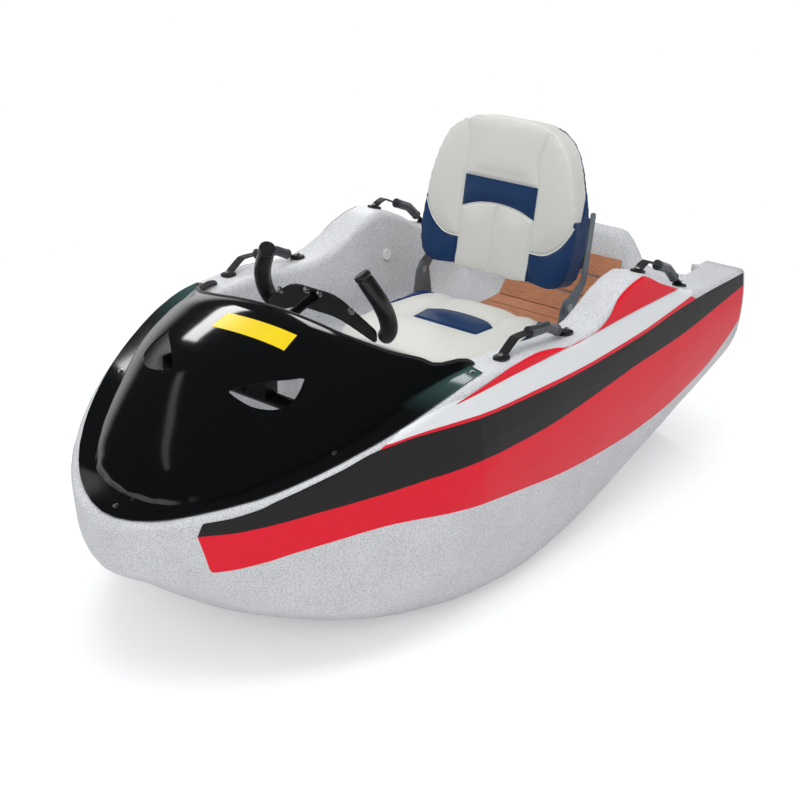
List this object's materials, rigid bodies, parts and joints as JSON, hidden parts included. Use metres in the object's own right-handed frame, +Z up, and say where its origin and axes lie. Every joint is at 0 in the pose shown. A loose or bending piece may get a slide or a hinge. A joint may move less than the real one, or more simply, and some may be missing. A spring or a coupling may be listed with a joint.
{
  "type": "water kart",
  "caption": "One-seat electric water kart: speckled grey moulded hull, smoked hood over the footwell, yoke steering, folding seat, deck pads and a steered stern thruster.",
  "frame": {"origin": "on the floor, under the middle of the hull's box", "axes": "+X towards the bow, +Y to port, +Z up"},
  "size_m": [1.89, 1.0202, 0.9723],
  "materials": {
    "granite_grey_polyethylene": "speckled, slightly rough",
    "smoked_polycarbonate": "gloss",
    "black_foam_grip": "matt",
    "black_powder_coat": "satin",
    "grey_painted_steel": "satin",
    "white_vinyl": "satin vinyl",
    "brown_deck_foam": "matt foam",
    "black_nylon": "matt",
    "white_plug": "matt",
    "stainless_steel": "brushed"
  },
  "bodies": {
    "boat": {"column_housing": "black_nylon", "dash_beam": "black_powder_coat", "deck_pad_1": "brown_deck_foam", "deck_pad_2": "brown_deck_foam", "deck_pad_3": "brown_deck_foam", "deck_pad_4": "brown_deck_foam", "deck_pad_5": "brown_deck_foam", "deck_pad_6": "brown_deck_foam", "deck_pad_7": "brown_deck_foam", "handle_strap_front_port": "black_nylon", "handle_strap_front_starboard": "black_nylon", "handle_strap_rear_port": "black_nylon", "handle_strap_rear_starboard": "black_nylon", "hinge_bolt_port": "stainless_steel", "hinge_bolt_starboard": "stainless_steel", "hood": "smoked_polycarbonate", "hood_edge_trim": "black_nylon", "hull": "granite_grey_polyethylene", "seat_base": "black_nylon", "seat_bracket_port": "grey_painted_steel", "seat_bracket_starboard": "grey_painted_steel", "seat_cushion": "white_vinyl", "transom_bracket": "black_powder_coat", "wall_plug_1_port": "white_plug", "wall_plug_1_starboard": "white_plug", "wall_plug_2_port": "white_plug", "wall_plug_2_starboard": "white_plug"},
    "steering": {"steering_yoke": "black_powder_coat", "steering_grip_port": "black_foam_grip", "steering_grip_starboard": "black_foam_grip", "steering_shaft": "stainless_steel"},
    "backrest": {"seat_back": "white_vinyl", "seat_arm_port": "grey_painted_steel", "seat_arm_starboard": "grey_painted_steel"},
    "thruster": {"thruster_leg": "black_powder_coat", "propeller_guard": "black_nylon"},
    "propeller_rotor": {"propeller": "black_nylon"}
  },
  "joints": [
    {"name": "steering_turn", "type": "hinge", "parent": "boat", "child": "steering", "pos_m": [0.27, 0, 0.69], "axis": [0.9563, 0, -0.2924], "range_deg": [-60, 60]},
    {"name": "backrest_fold", "type": "hinge", "parent": "boat", "child": "backrest", "pos_m": [-0.435, 0, 0.51], "axis": [0, 1, 0], "range_deg": [0, 90]},
    {"name": "thruster_steer", "type": "hinge", "parent": "boat", "child": "thruster", "pos_m": [-0.906, 0, 0.4], "axis": [0, 0, 1], "range_deg": [-35, 35]},
    {"name": "propeller_spin", "type": "hinge", "parent": "thruster", "child": "propeller_rotor", "pos_m": [-0.929, 0, 0.115], "axis": [1, 0, 0], "continuous": true}
  ],
  "couplings": [
    {"joint": "thruster_steer", "follows": "steering_turn", "ratio": 0.58333}
  ]
}
